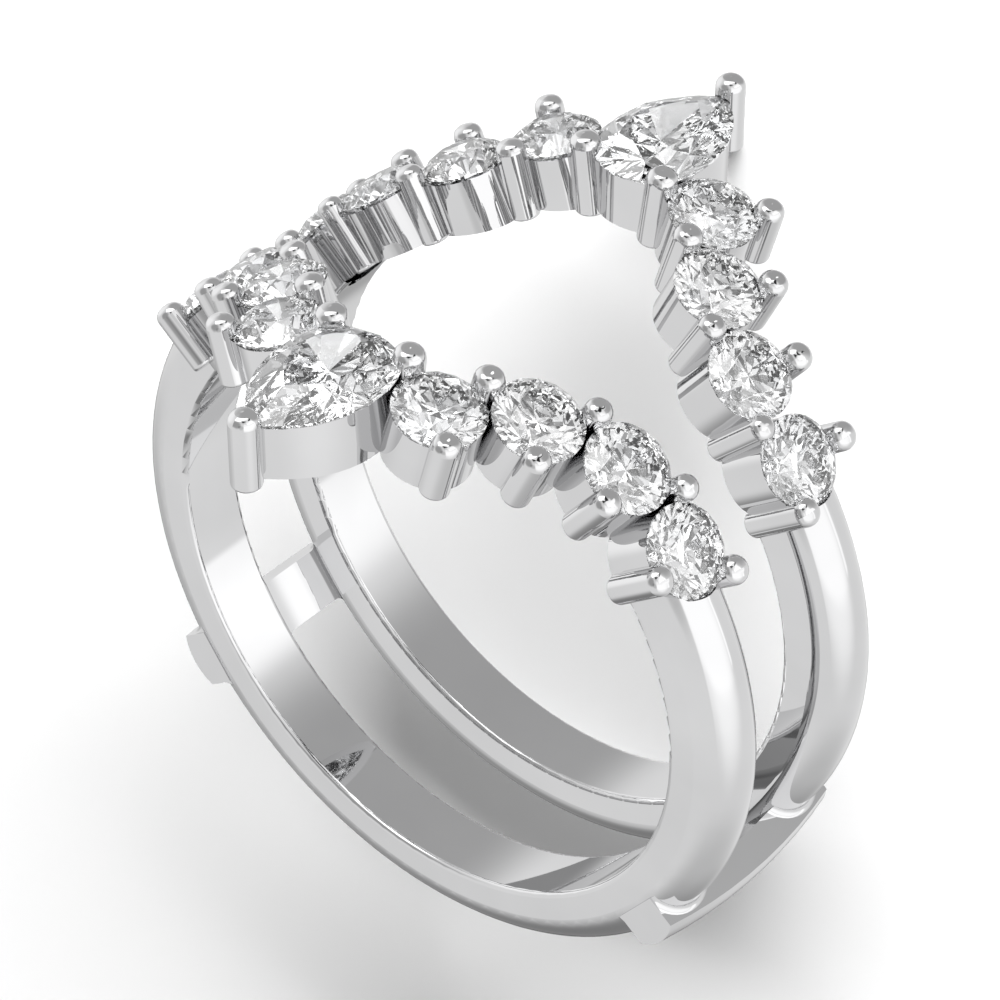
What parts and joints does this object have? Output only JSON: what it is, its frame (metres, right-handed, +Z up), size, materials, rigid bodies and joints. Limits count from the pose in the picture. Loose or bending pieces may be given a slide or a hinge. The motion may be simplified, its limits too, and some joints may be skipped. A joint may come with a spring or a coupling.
{
  "type": "ring guard enhancer",
  "caption": "Ring guard of two joined bands with facing chevrons of claw-set round and pear stones, open between them for a centre ring.",
  "frame": {"origin": "on the table that the ring lies on, under the middle of its footprint", "axes": "+Z up from the table; +Y towards the chevrons' points; +X to the right seen from the front row; the finger axis leans 19.70 degrees from +Z towards -Y"},
  "size_m": [0.021, 0.0244, 0.0196],
  "materials": {
    "white_metal": "polished white gold",
    "stone": "cut and polished"
  },
  "bodies": {
    "root": {"ring_frame": "white_metal", "pear_front": "stone", "pear_back": "stone", "stone_front_right_1": "stone", "stone_front_right_2": "stone", "stone_front_right_3": "stone", "stone_front_right_4": "stone", "stone_front_left_1": "stone", "stone_front_left_2": "stone", "stone_front_left_3": "stone", "stone_front_left_4": "stone", "stone_back_right_1": "stone", "stone_back_right_2": "stone", "stone_back_right_3": "stone", "stone_back_right_4": "stone", "stone_back_left_1": "stone", "stone_back_left_2": "stone", "stone_back_left_3": "stone", "stone_back_left_4": "stone"}
  },
  "joints": []
}
